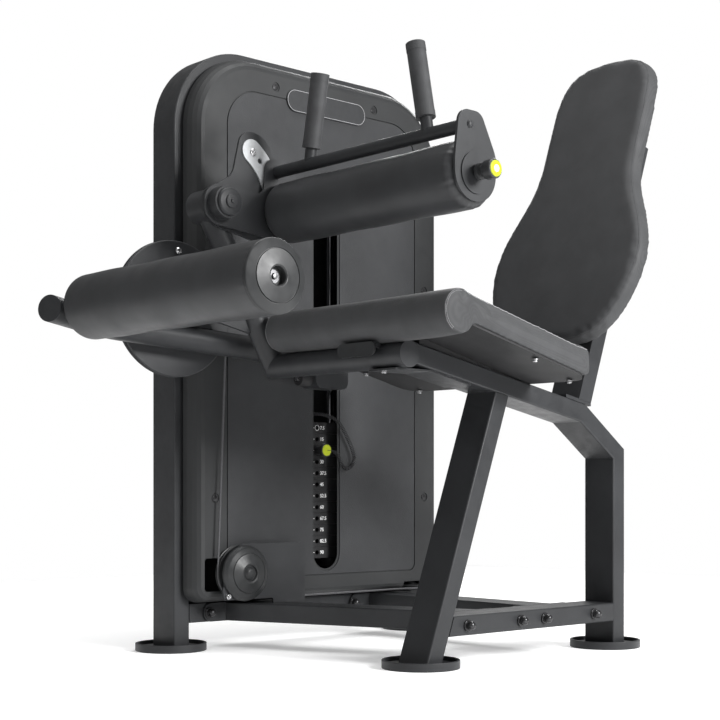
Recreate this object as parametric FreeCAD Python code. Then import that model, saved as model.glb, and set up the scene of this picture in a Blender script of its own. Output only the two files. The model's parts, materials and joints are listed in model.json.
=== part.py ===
import FreeCAD, Part
import math
import os

doc = FreeCAD.newDocument("leg_extension_machine")
Vector = FreeCAD.Vector

# Driving sizes, in millimetres and degrees.
sizes = doc.addObject("Spreadsheet::Sheet", "Sizes")
DRIVING = (
    ("tube_wide", 90), ("tube_deep", 45), ("tube_wall", 3), ("pipe_radius", 28.5), ("pipe_wall", 3),
    ("foot_radius", 86), ("leg_bottom", 10), ("rail_low", 67), ("seat_leg_lean", 20.1),
    ("beam_slope", 11), ("seat_centre", 66), ("seat_half", 291), ("rear_leg_front", 618.4),
    ("tower_centre", 212), ("tower_half", 433), ("tower_height", 1467), ("tower_front", 612.8),
    ("tower_corner", 205), ("shroud_front", 557), ("shroud_rear", 605), ("shroud_wall", 5),
    ("post_plane", 422), ("post_foot_plane", 392), ("cross_front", -90), ("cross_height", 676), ("cross_near", -58),
    ("hub_front", -265), ("hub_height", 1031), ("knee_front", -273.5), ("knee_height", 809),
    ("arm_plane", 487), ("cable_plane", 542), ("cable_radius", 2.5), ("cam_cable", 155.5),
    ("wheel_cable", 64), ("wheel_front", -80), ("wheel_height", 187.5), ("small_cable", 48),
    ("plate_pitch", 29.2), ("stack_bottom", 211.7), ("stack_front", 593), ("stack_deep", 100),
    ("rod_plane", 640), ("rod_apart", 170), ("ankle_front", -612), ("ankle_height", 768),
    ("ankle_radius", 69), ("thigh_front", -84), ("thigh_height", 1029.5), ("thigh_radius", 71),
    ("bar_front", -101), ("bar_height", 1125), ("grip_apart", 380), ("back_lean", 19.4),
)
for number, (alias, value) in enumerate(DRIVING, 1):
    sizes.set("A%d" % number, alias)
    sizes.set("B%d" % number, str(value))
    sizes.setAlias("B%d" % number, alias)
doc.recompute()


def size(alias):
    return float(sizes.get(alias))


wide = size("tube_wide")
deep = size("tube_deep")
wall = size("tube_wall")
pipe = size("pipe_radius")
rail_low = size("rail_low")
rail_top = rail_low + deep
half = wide / 2
tower_front = size("tower_front")
tower_back = tower_front + wide
tower_left = size("tower_centre") - size("tower_half")
tower_right = size("tower_centre") + size("tower_half")
middle = size("tower_centre")
seat_mid = size("seat_centre")


def part_body(label):
    piece = doc.addObject("PartDesign::Body", label)
    piece.Label = label
    return piece


def corner_arc(before, corner, after, radius):
    """Start, middle and end of the round that fills one corner of an outline."""
    to_before = (before - corner).normalize()
    to_after = (after - corner).normalize()
    half_turn = to_before.getAngle(to_after) / 2
    reach = radius / math.tan(half_turn)
    inward = (to_before + to_after).normalize()
    centre = corner + inward * (radius / math.sin(half_turn))
    return corner + to_before * reach, centre - inward * radius, corner + to_after * reach


def outline(points):
    """Closed run of straight edges; a point's third number rounds its corner."""
    spots = [Vector(point[0], point[1], 0) for point in points]
    rounds = [point[2] if len(point) > 2 else 0 for point in points]
    edges = []
    ends = []
    for index, spot in enumerate(spots):
        if rounds[index]:
            after = spots[(index + 1) % len(spots)]
            start, crown, finish = corner_arc(spots[index - 1], spot, after, rounds[index])
            edges.append(Part.Arc(start, crown, finish))
            ends.append((start, finish))
        else:
            ends.append((spot, spot))
    for index, pair in enumerate(ends):
        onward = ends[(index + 1) % len(ends)][0]
        if pair[1].distanceToPoint(onward) > 0.001:
            edges.append(Part.LineSegment(pair[1], onward))
    return edges


def circle(across, up, radius):
    return [Part.Circle(Vector(across, up, 0), Vector(0, 0, 1), radius)]


def box_outline(low, high, low_up, high_up, radius=0):
    return outline(((low, low_up, radius), (high, low_up, radius),
                    (high, high_up, radius), (low, high_up, radius)))


def sketch(piece, plane, edges, placement):
    drawing = piece.newObject("Sketcher::SketchObject", "Sketch")
    for feature in piece.Origin.OriginFeatures:
        if feature.Role == plane:
            drawing.AttachmentSupport = [(feature, "")]
    drawing.MapMode = "FlatFace"
    drawing.AttachmentOffset = placement
    drawing.addGeometry(edges, False)
    return drawing


def level(distance):
    return FreeCAD.Placement(Vector(0, 0, distance), FreeCAD.Rotation())


def add(piece, plane, edges, low, high):
    """Material between two levels. The XZ plane's normal points along -Y."""
    start = -high if plane == "XZ_Plane" else low
    pad = piece.newObject("PartDesign::Pad", "Pad")
    pad.Profile = sketch(piece, plane, edges, level(start))
    pad.Length = high - low
    piece.Tip = pad


def cut(piece, plane, edges, low, high):
    start = -low if plane == "XZ_Plane" else high
    pocket = piece.newObject("PartDesign::Pocket", "Pocket")
    pocket.Profile = sketch(piece, plane, edges, level(start))
    pocket.Length = high - low
    piece.Tip = pocket


def lathe(piece, points, axis, where, cutting=False):
    """Turned shape: points are (radius, distance along the axis)."""
    kind = "PartDesign::Groove" if cutting else "PartDesign::Revolution"
    turned = piece.newObject(kind, "Turned")
    plane = "XY_Plane"
    offset = Vector(where[0], 0, where[1])
    if axis == "Z":
        plane = "XZ_Plane"
        offset = Vector(where[0], 0, -where[1])
    drawing = sketch(piece, plane, outline(points), FreeCAD.Placement(offset, FreeCAD.Rotation()))
    turned.Profile = drawing
    turned.ReferenceAxis = (drawing, ["V_Axis"])
    turned.Angle = 360
    piece.Tip = turned


def bar(piece, start, finish, radius, bore=0):
    """Round bar or tube between two points in any direction."""
    along = finish - start
    placement = FreeCAD.Placement(start, FreeCAD.Rotation(Vector(0, 0, 1), along))
    edges = circle(0, 0, radius)
    if bore:
        edges = edges + circle(0, 0, bore)
    pad = piece.newObject("PartDesign::Pad", "Pad")
    pad.Profile = sketch(piece, "XY_Plane", edges, placement)
    pad.Length = along.Length
    piece.Tip = pad


def trim(piece, corner, outward):
    """Cut away whatever lies beyond a plane."""
    reach = 80
    normal = Vector(outward).normalize()
    placement = FreeCAD.Placement(corner + normal * reach, FreeCAD.Rotation(Vector(0, 0, 1), normal))
    pocket = piece.newObject("PartDesign::Pocket", "Pocket")
    pocket.Profile = sketch(piece, "XY_Plane", circle(0, 0, 100), placement)
    pocket.Length = reach
    piece.Tip = pocket


TUBE_ROUND = 4


def soften(piece, axis, levels, shortest):
    """Round a box tube's long edges: those lying at the given levels of one axis."""
    doc.recompute()
    sharp = piece.Tip
    names = []
    for number, edge in enumerate(sharp.Shape.Edges, 1):
        gaps = [min(abs(corner.Point[axis] - height) for height in levels) for corner in edge.Vertexes]
        if edge.Length > shortest and max(gaps) < 0.01:
            names.append("Edge%d" % number)
    fillet = piece.newObject("PartDesign::Fillet", "Fillet")
    fillet.Base = (sharp, names)
    fillet.Radius = TUBE_ROUND
    piece.Tip = fillet


def free_shape(label, shape):
    feature = doc.addObject("Part::Feature", label)
    feature.Label = label
    feature.Shape = shape
    return feature


def swept(edges, radius, bore=0):
    """Round section carried along joined edges."""
    spine = Part.Wire(edges)
    first = spine.Edges[0]
    start = first.valueAt(first.FirstParameter)
    heading = first.tangentAt(first.FirstParameter)
    if spine.OrderedVertexes[0].Point.distanceToPoint(start) > 0.01:
        start = first.valueAt(first.LastParameter)
        heading = first.tangentAt(first.LastParameter) * -1
    ring = Part.Wire(Part.makeCircle(radius, start, heading))
    solid = spine.makePipeShell([ring], True, False)
    if bore:
        hollow = Part.Wire(Part.makeCircle(bore, start, heading))
        solid = solid.cut(spine.makePipeShell([hollow], True, False))
    return solid


def bent_run(points, share=0.45):
    """Straight runs joined by arcs that touch both neighbours."""
    edges = []
    here = points[0]
    for index in range(1, len(points) - 1):
        before = points[index - 1]
        corner = points[index]
        after = points[index + 1]
        shorter = min(corner.distanceToPoint(before), corner.distanceToPoint(after))
        turn = (corner - before).getAngle(after - corner)
        radius = share * shorter / math.tan(turn / 2)
        start, crown, finish = corner_arc(before, corner, after, radius)
        print("bend radius %.1f" % radius)
        edges.append(Part.LineSegment(here, start).toShape())
        edges.append(Part.Arc(start, crown, finish).toShape())
        here = finish
    edges.append(Part.LineSegment(here, points[-1]).toShape())
    return edges


# ---------------------------------------------------------------- feet and low frame
FEET = ((0, 0), (642, 0), (tower_left + deep / 2, tower_front + half),
        (tower_right - deep / 2, tower_front + half))


def make_foot(number, where):
    foot = part_body("foot_%d" % number)
    radius = size("foot_radius")
    floor = size("leg_bottom")
    lathe(foot, ((0, 0), (radius, 0, 1.5), (radius, 19, 1.5), (radius - 6, 19, 1.5),
                 (radius - 6, floor), (0, floor)), "Z", where)


def leg_centre(height):
    return 1 + (height - 19) * math.tan(math.radians(size("seat_leg_lean")))


leg_half = deep / 2 / math.cos(math.radians(size("seat_leg_lean")))
slope = math.tan(math.radians(size("beam_slope")))


def beam_top(across):
    return 692 - slope * across


beam_drop = deep / math.cos(math.radians(size("beam_slope")))


def beam_bottom(across):
    return beam_top(across) - beam_drop


def meet_beam(offset):
    """Where a line of the front leg, offset from its centre, meets the beam's underside."""
    lean = math.tan(math.radians(size("seat_leg_lean")))
    return (1 - 19 * lean + offset + lean * (692 - beam_drop)) / (1 + lean * slope)


def make_front_leg():
    leg = part_body("front_leg")
    low = size("leg_bottom")
    thick = wall / math.cos(math.radians(size("seat_leg_lean")))
    for side in (0, 1):
        reach = leg_half - side * thick
        left = meet_beam(-reach)
        right = meet_beam(reach)
        edges = outline(((leg_centre(low) - reach, low), (leg_centre(low) + reach, low),
                         (right, beam_bottom(right)), (left, beam_bottom(left))))
        if side:
            cut(leg, "XZ_Plane", edges, wall - half, half - wall)
        else:
            add(leg, "XZ_Plane", edges, -half, half)
    soften(leg, 1, (-half, half), 100)


def make_rear_leg():
    leg = part_body("rear_leg")
    front = size("rear_leg_front")
    rear = front + deep - 1
    low = size("leg_bottom")
    add(leg, "XZ_Plane", outline(((front, low), (rear, low), (rear, 488.4), (512.8, beam_top(512.8)),
                                  (494, beam_bottom(494)), (front, 464.6))), -half, half)
    cut(leg, "XZ_Plane", outline(((front + wall, low - 1), (rear - wall, low - 1), (rear - wall, 487),
                                  (511, 590.4 - 0.6), (495.8, beam_bottom(494) + 2.2),
                                  (front + wall, 466.2))), wall - half, half - wall)
    soften(leg, 1, (-half, half), 100)


def make_seat_beam():
    beam = part_body("seat_beam")
    front = size("cross_front") + pipe
    add(beam, "XZ_Plane", outline(((front, beam_bottom(front)), (494, beam_bottom(494)),
                                   (512.8, beam_top(512.8)), (front, beam_top(front)))), -half, half)
    cut(beam, "XZ_Plane", outline(((front - 1, beam_bottom(front) + 3.2), (488, beam_bottom(488) + 3.1),
                                   (500, beam_top(500) - 3.1), (front - 1, beam_top(front) - 3))),
        wall - half, half - wall)
    soften(beam, 1, (-half, half), 300)
    gusset = part_body("beam_gusset")
    under = size("cross_height") - pipe - 0.1
    meet = (692 - beam_drop - under) / slope
    add(gusset, "XZ_Plane", outline(((-112, under), (-112, under - 4), (meet, under - 4),
                                     (120, beam_bottom(120) - 4), (120, beam_bottom(120)), (meet, under))),
        -38, half)


def make_near_rail():
    rail = part_body("near_rail")
    rear = size("rear_leg_front")
    add(rail, "XZ_Plane", outline(((leg_centre(rail_low) + leg_half, rail_low), (rear, rail_low),
                                   (rear, rail_top), (leg_centre(rail_top) + leg_half, rail_top))),
        -half, half)
    cut(rail, "YZ_Plane", box_outline(wall - half, half - wall, rail_low + wall, rail_top - wall), 0, rear)
    soften(rail, 1, (-half, half), 300)


PLATE = 6


def make_base_tube(label, near_across, far_across):
    tube = part_body(label)
    near = half
    far = tower_front
    drift = (far_across - near_across) / (far - near)
    reach = half * math.hypot(1, drift)

    def at(along, offset):
        return (near_across + drift * (along - near) + offset, along)

    add(tube, "XY_Plane", outline((at(near + PLATE, -reach), at(near + PLATE, reach),
                                   at(far - PLATE, reach), at(far - PLATE, -reach))), rail_low, rail_top)
    add(tube, "XZ_Plane", box_outline(near_across - 112, near_across + 112, rail_low, rail_top, 22),
        near, near + PLATE)
    add(tube, "XZ_Plane", box_outline(far_across - 112, far_across + 112, rail_low, rail_top, 22),
        far - PLATE, far)
    inner = reach - wall * 1.1
    cut(tube, "XY_Plane", outline((at(near - 1, -inner), at(near - 1, inner),
                                   at(far + 1, inner), at(far + 1, -inner))),
        rail_low + wall, rail_top - wall)
    soften(tube, 2, (rail_low, rail_top), 300)


FRONT_TUBE = (189, -25.6)
REAR_TUBE = (452, 452)


def make_nuts():
    """Domed nuts on washers: on the near rail's outer face, and on the tower side's end plates."""
    height = rail_low + deep / 2
    spots = [(across, -half) for across in (101, 277, 361, 542)]
    spots += [(across, tower_front - PLATE) for across in (-122, 70, 350.5, 553)]
    for number, (across, face) in enumerate(spots, 1):
        nut = part_body("frame_bolt_%d" % number)
        lathe(nut, ((0, face - 21), (9, face - 20, 7), (9.5, face - 12, 3), (9.5, face - 4.5),
                    (13, face - 4, 1), (13, face), (0, face)), "Y", (across, height))


# ---------------------------------------------------------------- tower
def frame_loop(inset):
    left = tower_left + inset
    right = tower_right - inset
    top = size("tower_height") - inset
    inner = deep - 2 * inset
    bend = size("tower_corner")
    low = size("leg_bottom") - inset
    return outline(((left, low), (left, top, bend - inset), (right, top, bend - inset), (right, low),
                    (right - inner, low), (right - inner, top - inner, bend - deep + inset),
                    (left + inner, top - inner, bend - deep + inset), (left + inner, low)))


def make_tower_frame():
    frame = part_body("tower_frame")
    add(frame, "XZ_Plane", frame_loop(0), tower_front, tower_back)
    cut(frame, "XZ_Plane", frame_loop(wall), tower_front + wall, tower_back - wall)
    soften(frame, 1, (tower_front, tower_back), 100)


def make_tower_rail():
    rail = part_body("tower_rail")
    left = tower_left + deep
    right = tower_right - deep
    add(rail, "XZ_Plane", box_outline(left, right, rail_low, rail_top), tower_front, tower_back)
    cut(rail, "YZ_Plane", box_outline(tower_front + wall, tower_back - wall,
                                      rail_low + wall, rail_top - wall), left, right)


def arch(inset, bottom, low_corner=22):
    """Tall panel outline with a rounded top, inset from the tower frame."""
    left = tower_left + inset
    right = tower_right - inset
    top = size("tower_height") - inset
    corner = size("tower_corner") + 1 - inset
    return outline(((left, bottom, low_corner), (left, top, corner),
                    (right, top, corner), (right, bottom, low_corner)))


def slot_outline(inset):
    reach = 46.5 - inset
    return outline(((middle - reach, 180 + inset, reach - 0.1), (middle - reach, 1150 - inset, reach - 0.1),
                    (middle + reach, 1150 - inset, reach - 0.1), (middle + reach, 180 + inset, reach - 0.1)))


PANEL = (middle - 318, middle + 318, 170, 1365)


def panel_outline(inset):
    left, right, low, top = PANEL
    return outline(((left + inset, low + inset, 20), (left + inset, top - inset, 90),
                    (right - inset, top - inset, 90), (right - inset, low + inset, 20)))


SCREWS = [(middle - 353, 368), (middle - 353, 928), (middle + 353, 368), (middle + 353, 928),
          (middle - 166, 1388), (middle + 166, 1388)]


def rolled(piece, kind, wall_inset, first, last):
    """Shell skin whose edge rolls back from the front face in a quarter of an ellipse."""
    drawings = []
    for step in range(6):
        turn = math.radians(18 * step)
        inset = 50 - 30 * math.sin(turn)
        edges = arch(inset + wall_inset, 101.4 + 0.73 * inset + wall_inset, 48 - inset / 2)
        drawings.append(sketch(piece, "XZ_Plane", edges, level(-first - (last - first) * (1 - math.cos(turn)))))
    blend = piece.newObject(kind, "Loft")
    blend.Profile = drawings[0]
    blend.Sections = drawings[1:]
    blend.Ruled = True
    piece.Tip = blend


def make_shroud():
    shroud = part_body("shroud")
    front = size("shroud_front")
    rear = size("shroud_rear")
    thick = size("shroud_wall")
    rolled(shroud, "PartDesign::AdditiveLoft", 0, front, rear)
    rolled(shroud, "PartDesign::SubtractiveLoft", 4, front + thick, rear + 0.5)
    cut(shroud, "XZ_Plane", panel_outline(0), front - 1, front + 3)
    cut(shroud, "XZ_Plane", slot_outline(6), front - 1, front + thick + 1)
    for across, height in SCREWS:
        cut(shroud, "XZ_Plane", circle(across, height, 12), front - 1, front + 2.5)
        cut(shroud, "XZ_Plane", circle(across, height, 4.3), front, front + thick + 1)
    window = outline(((tower_left + 49, 144), (-60, 144), (-60, 224, 8), (tower_left + 49, 224, 8)))
    cut(shroud, "XZ_Plane", window, front - 1, front + thick + 1)
    cut(shroud, "XZ_Plane", box_outline(rear_wheel.x - 56, rear_wheel.x + 56, 95, 141), front - 1, rear + 1)


def make_panel():
    panel = part_body("shroud_panel")
    front = size("shroud_front")
    add(panel, "XZ_Plane", panel_outline(3), front, front + 2.9)
    cut(panel, "XZ_Plane", slot_outline(0), front - 1, front + 4)
    window = outline(((-120, 160), (-57, 160), (-57, 227, 8), (-120, 227, 8)))
    cut(panel, "XZ_Plane", window, front - 1, front + 4)


def make_badge():
    badge = part_body("badge")
    front = size("shroud_front")
    add(badge, "XZ_Plane", box_outline(middle - 132, middle + 132, 1337, 1393, 27.9), front - 4, front - 0.1)


def make_screws():
    for number, (across, height) in enumerate(SCREWS, 1):
        screw = part_body("shroud_screw_%d" % number)
        front = size("shroud_front")
        lathe(screw, ((0, front), (8, front + 0.6, 1), (8, front + 2.4), (4, front + 2.4),
                      (4, front + 18), (0, front + 18)), "Y", (across, height))


def make_brackets():
    """Tabs from the tower frame that carry the shroud on stand-off tubes."""
    for number, (across, height) in enumerate(SCREWS, 1):
        tab = part_body("shroud_bracket_%d" % number)
        reach = size("shroud_front") + size("shroud_wall")
        inner = tower_left + deep
        if number > 4:
            edges = box_outline(across - 15, across + 15, height - 15, size("tower_height") - deep)
        elif across < middle:
            edges = box_outline(inner, across + 15, height - 15, height + 15)
        else:
            edges = box_outline(across - 15, tower_right - deep, height - 15, height + 15)
        add(tab, "XZ_Plane", edges, tower_front, tower_front + 5)
        add(tab, "XZ_Plane", circle(across, height, 10), reach + 0.1, tower_front + 2)
        cut(tab, "XZ_Plane", circle(across, height, 4.3), reach - 1, tower_front + 6)


def make_rear_cover():
    cover = part_body("rear_cover")
    edges = arch(12, rail_low)
    add(cover, "XZ_Plane", edges, tower_back, tower_back + 3)


# ---------------------------------------------------------------- weights
ROD = 9.5
HALF_STACK = 140
pitch = size("plate_pitch")
stack_bottom = size("stack_bottom")
rod_plane = size("rod_plane")
stack_front = size("stack_front")


def make_guide_rods():
    top = 1252
    for number, side in enumerate((-1, 1), 1):
        rod = part_body("guide_rod_%d" % number)
        add(rod, "XY_Plane", circle(middle + side * size("rod_apart") / 2, rod_plane, ROD), rail_top, top)
    bridge = part_body("guide_rod_bridge")
    add(bridge, "XY_Plane", box_outline(tower_left + deep, tower_right - deep, rod_plane - 20,
                                        rod_plane + 20), top, top + 8)
    for across in (middle, turn_wheel.x - small):
        cut(bridge, "XY_Plane", circle(across, rod_plane, 9), top, top + 8)


def weight_plate(plate, low):
    high = low + pitch - 0.6
    front = stack_front
    add(plate, "XY_Plane", box_outline(middle - HALF_STACK, middle + HALF_STACK, front,
                                       front + size("stack_deep"), 6), low, high)
    for side in (-1, 1):
        cut(plate, "XY_Plane", circle(middle + side * size("rod_apart") / 2, rod_plane, ROD + 1.5), low, high)
    cut(plate, "XY_Plane", circle(middle, rod_plane, 12), low, high)
    cut(plate, "XZ_Plane", circle(middle, (low + high) / 2, 6), front - 1, front + 60)


def make_weights():
    for number in range(11):
        plate = part_body("weight_%02d" % (number + 1))
        weight_plate(plate, stack_bottom + pitch * number)


def make_head_plate():
    head = part_body("head_plate")
    low = stack_bottom + pitch * 11
    high = low + pitch - 0.6
    add(head, "XY_Plane", box_outline(middle - HALF_STACK, middle + HALF_STACK, stack_front,
                                      stack_front + size("stack_deep"), 6), low, high)
    add(head, "XY_Plane", circle(middle, rod_plane, 20), low, high + 22)
    for side in (-1, 1):
        cut(head, "XY_Plane", circle(middle + side * size("rod_apart") / 2, rod_plane, ROD + 0.1), low, high)
    cut(head, "XZ_Plane", circle(middle, (low + high) / 2, 6), stack_front - 1, stack_front + 20)


def make_stem():
    stem = part_body("selector_stem")
    top = stack_bottom + pitch * 11
    add(stem, "XY_Plane", circle(middle, rod_plane, 11), stack_bottom, top)
    for number in range(11):
        height = stack_bottom + pitch * number + (pitch - 0.6) / 2
        cut(stem, "XZ_Plane", circle(middle, height, 5.3), rod_plane - 20, rod_plane + 20)


PIN_HEIGHT = stack_bottom + pitch * 9 + (pitch - 0.6) / 2


def make_pin():
    pin = part_body("selector_pin")
    lathe(pin, ((0, 555), (17, 555, 2), (17, 567, 3), (11, 571, 2), (11, 591.5),
                (5.2, 591.5), (5.2, 648), (0, 650)), "Y", (middle, PIN_HEIGHT))


def make_pin_face():
    face = part_body("pin_face")
    lathe(face, ((0, 553.2), (13.5, 553.2, 1), (14.5, 554.9), (0, 554.9)), "Y", (middle, PIN_HEIGHT))


def make_buffers():
    for number, side in enumerate((-1, 1), 1):
        across = middle + side * size("rod_apart") / 2
        buffer = part_body("stack_buffer_%d" % number)
        lathe(buffer, ((ROD + 0.5, rail_top), (24, rail_top), (24, 180, 3), (20, 184), (26, 188, 3),
                       (26, stack_bottom - 0.4, 3), (ROD + 0.5, stack_bottom - 0.4)), "Z",
              (across, rod_plane))


# ---------------------------------------------------------------- cable and pulleys
cam = Vector(size("knee_front"), size("cable_plane"), size("knee_height"))
wheel = Vector(size("wheel_front"), size("cable_plane"), size("wheel_height"))
cam_cable = size("cam_cable")
wheel_cable = size("wheel_cable")
small = size("small_cable")
low_run = wheel.z - wheel_cable
side_gap = rod_plane - size("cable_plane")
rear_wheel = Vector(545, size("cable_plane") + side_gap / 2, low_run)
turn_wheel = Vector(middle + 4 * small + 62, rod_plane, low_run + small)
top_height = 1340
top_rear = Vector(turn_wheel.x - 2 * small, rod_plane, top_height)
top_front = Vector(middle + small, rod_plane, top_height)


def around(centre, radius, degrees):
    angle = math.radians(degrees)
    return centre + Vector(radius * math.cos(angle), 0, radius * math.sin(angle))


def arc_about(centre, radius, start, finish):
    return Part.Arc(around(centre, radius, start), around(centre, radius, (start + finish) / 2),
                    around(centre, radius, finish)).toShape()


def make_cable():
    between = wheel - cam
    lean = math.degrees(math.atan2(between.z, between.x))
    leave = lean + math.degrees(math.acos((cam_cable + wheel_cable) / between.Length))
    reach = side_gap / 2
    edges = [arc_about(cam, cam_cable, 200, leave)]
    edges.append(Part.LineSegment(around(cam, cam_cable, leave),
                                  around(wheel, wheel_cable, leave + 180)).toShape())
    edges.append(arc_about(wheel, wheel_cable, leave + 180, 270))
    edges.append(Part.LineSegment(around(wheel, wheel_cable, 270),
                                  rear_wheel - Vector(0, reach, 0)).toShape())
    edges.append(Part.Arc(rear_wheel - Vector(0, reach, 0), rear_wheel + Vector(reach, 0, 0),
                          rear_wheel + Vector(0, reach, 0)).toShape())
    edges.append(Part.LineSegment(rear_wheel + Vector(0, reach, 0), around(turn_wheel, small, 270)).toShape())
    edges.append(arc_about(turn_wheel, small, 270, 180))
    edges.append(Part.LineSegment(around(turn_wheel, small, 180), around(top_rear, small, 0)).toShape())
    edges.append(arc_about(top_rear, small, 0, 90))
    edges.append(Part.LineSegment(around(top_rear, small, 90), around(top_front, small, 90)).toShape())
    edges.append(arc_about(top_front, small, 90, 180))
    free_shape("cable", swept(edges, size("cable_radius")))
    drop = part_body("cable_drop")
    add(drop, "XY_Plane", circle(middle, rod_plane, size("cable_radius")),
        stack_bottom + pitch * 12 + 22, top_height)


def make_pulley(label, axis, where, centre, cable_line, rim, bore):
    """Grooved wheel: rim and bore radii, turned about Y or Z."""
    floor = cable_line - size("cable_radius") - 0.3
    pulley = part_body(label)
    lathe(pulley, ((bore, centre - 10), (18, centre - 10), (18, centre - 7), (rim, centre - 7, 1),
                   (rim, centre - 5), (floor, centre - 2.6, 2), (floor, centre + 2.6, 2),
                   (rim, centre + 5), (rim, centre + 7, 1), (18, centre + 7), (18, centre + 10),
                   (bore, centre + 10)), axis, where)


PULLEYS = (("lower_pulley", "Y", (wheel.x, wheel.z), wheel.y, wheel_cable, 67),
           ("turn_pulley", "Y", (turn_wheel.x, turn_wheel.z), turn_wheel.y, small, 51),
           ("top_pulley_rear", "Y", (top_rear.x, top_rear.z), top_rear.y, small, 51),
           ("top_pulley_front", "Y", (top_front.x, top_front.z), top_front.y, small, 51))
AXLE = 8


def make_pulleys():
    for label, axis, where, centre, line, rim in PULLEYS:
        make_pulley(label, axis, where, centre, line, rim, AXLE + 0.05)
    rear = part_body("rear_pulley")
    floor = side_gap / 2 - size("cable_radius") - 0.3
    rim = side_gap / 2 + 3
    low = low_run
    lathe(rear, ((AXLE + 0.05, low - 8), (18, low - 8), (18, low - 7), (rim, low - 7, 1),
                 (rim, low - 5), (floor, low - 2.6, 2), (floor, low + 2.6, 2), (rim, low + 5),
                 (rim, low + 7, 1), (18, low + 7), (18, low + 8), (AXLE + 0.05, low + 8)),
          "Z", (rear_wheel.x, rear_wheel.y))


def make_pulley_plate():
    """Plate in front of the lower pulley, standing on the slanted base tube, with the pulley's axle."""
    plate = part_body("pulley_plate")
    front = 521
    edges = outline(((9, rail_top), (110, rail_top), (110, 258, 12), (-100, 258, 30), (-145, 150, 12),
                     (-140, 124, 8), (9, 124, 5)))
    add(plate, "XZ_Plane", edges, front, front + 5)
    add(plate, "XZ_Plane", circle(wheel.x, wheel.z, AXLE), front + 4, wheel.y + 11)
    add(plate, "XZ_Plane", circle(wheel.x, wheel.z, 14), front + 4, wheel.y - 10.3)


def make_pulley_cap():
    front = 493
    cap = part_body("pulley_cap")
    lathe(cap, ((0, front - 1), (10, front, 4), (13.5, front + 4, 2), (16.5, front + 7), (18, front + 7),
                (19.5, front + 3), (24, front + 2, 2), (46.5, front + 8.5), (47, front + 10.5),
                (48.5, front + 10.5), (49, front + 9.5), (60, front + 15, 12), (67, front + 22, 6),
                (67, 520.9), (0, 520.9)), "Y", (wheel.x, wheel.z))
    keeper = part_body("keeper_screw")
    lathe(keeper, ((2.6, 514), (5.5, 513.5, 1), (6.5, 515, 1), (6.5, 520.9), (0, 520.9), (0, 516),
                   (2.6, 516)), "Y", (-130.8, 133.1))


def make_pulley_brackets():
    top = part_body("top_bracket")
    left = top_front.x - 30
    right = top_rear.x + 30
    frame_under = size("tower_height") - deep
    add(top, "XZ_Plane", outline(((left, top_height - 20, 10), (right, top_height - 20, 10),
                                  (right, frame_under), (left, frame_under))),
        rod_plane + 11, rod_plane + 16)
    for centre in (top_front, top_rear):
        add(top, "XZ_Plane", circle(centre.x, centre.z, AXLE), rod_plane - 13, rod_plane + 12)
    turn = part_body("turn_bracket")
    add(turn, "XZ_Plane", outline(((turn_wheel.x - 30, rail_top), (turn_wheel.x + 30, rail_top),
                                   (turn_wheel.x + 20, turn_wheel.z + 25, 12),
                                   (turn_wheel.x - 20, turn_wheel.z + 25, 12))),
        rod_plane + 11, rod_plane + 16)
    add(turn, "XZ_Plane", circle(turn_wheel.x, turn_wheel.z, AXLE), rod_plane - 13, rod_plane + 12)
    rear = part_body("rear_bracket")
    add(rear, "XY_Plane", box_outline(rear_wheel.x - 25, rear_wheel.x + 25, rear_wheel.y - 25,
                                      tower_front + 40, 6), rail_top, rail_top + 3)
    add(rear, "XY_Plane", circle(rear_wheel.x, rear_wheel.y, AXLE), rail_top + 2, low_run + 10)
    lathe(rear, ((0, low_run + 9), (13, low_run + 9), (13, low_run + 13, 2), (0, low_run + 16)), "Z",
          (rear_wheel.x, rear_wheel.y))


# ---------------------------------------------------------------- thigh post and knee pivot
hub = Vector(size("hub_front"), size("post_plane"), size("hub_height"))
post_foot = Vector(size("cross_front"), size("post_foot_plane"), size("cross_height"))
knee = Vector(size("knee_front"), 0, size("knee_height"))


# The cross tube and the post meet in a mitre square to the halfway direction.
MITRE = Vector(0, 1, 0) + (hub - post_foot).normalize()


def make_cross_tube():
    cross = part_body("cross_tube")
    where = (size("cross_front"), size("cross_height"))
    near = size("cross_near")
    add(cross, "XZ_Plane", circle(where[0], where[1], pipe), near, post_foot.y + 60)
    cut(cross, "XZ_Plane", circle(where[0], where[1], pipe - size("pipe_wall")), near + 4, post_foot.y + 61)
    trim(cross, post_foot, MITRE)
    for low in (8, 103):
        lug = outline(((-134, 694, 3), (-112, 690), (-112, 698), (-120, 704.5, 3), (-134, 704.5, 3)))
        add(cross, "XZ_Plane", lug, low, low + 5)
    cut(cross, "XZ_Plane", circle(-127, 700, 3.05), 7, 109)


def post_point(height):
    along = hub - post_foot
    return post_foot + along * ((height - post_foot.z) / along.z)


def make_post():
    post = doc.addObject("Part::Feature", "thigh_post")
    post.Label = "thigh_post"
    along = hub - post_foot
    start = post_foot - Vector(along).normalize() * 60
    reach = along.Length + 60
    tube = Part.makeCylinder(pipe, reach, start, along)
    tube = tube.cut(Part.makeCylinder(pipe - size("pipe_wall"), reach, start, along))
    beyond = Part.makeCylinder(110, 120, post_foot, MITRE * -1)
    hub_tube = Part.makeCylinder(38, 200, Vector(hub.x, 350, hub.z), Vector(0, 1, 0))
    cope = tube.cut(beyond).cut(hub_tube)
    keep = [solid for solid in cope.Solids if solid.CenterOfMass.z > post_foot.z + 40]
    post.Shape = max(keep, key=lambda solid: solid.Volume)


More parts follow.
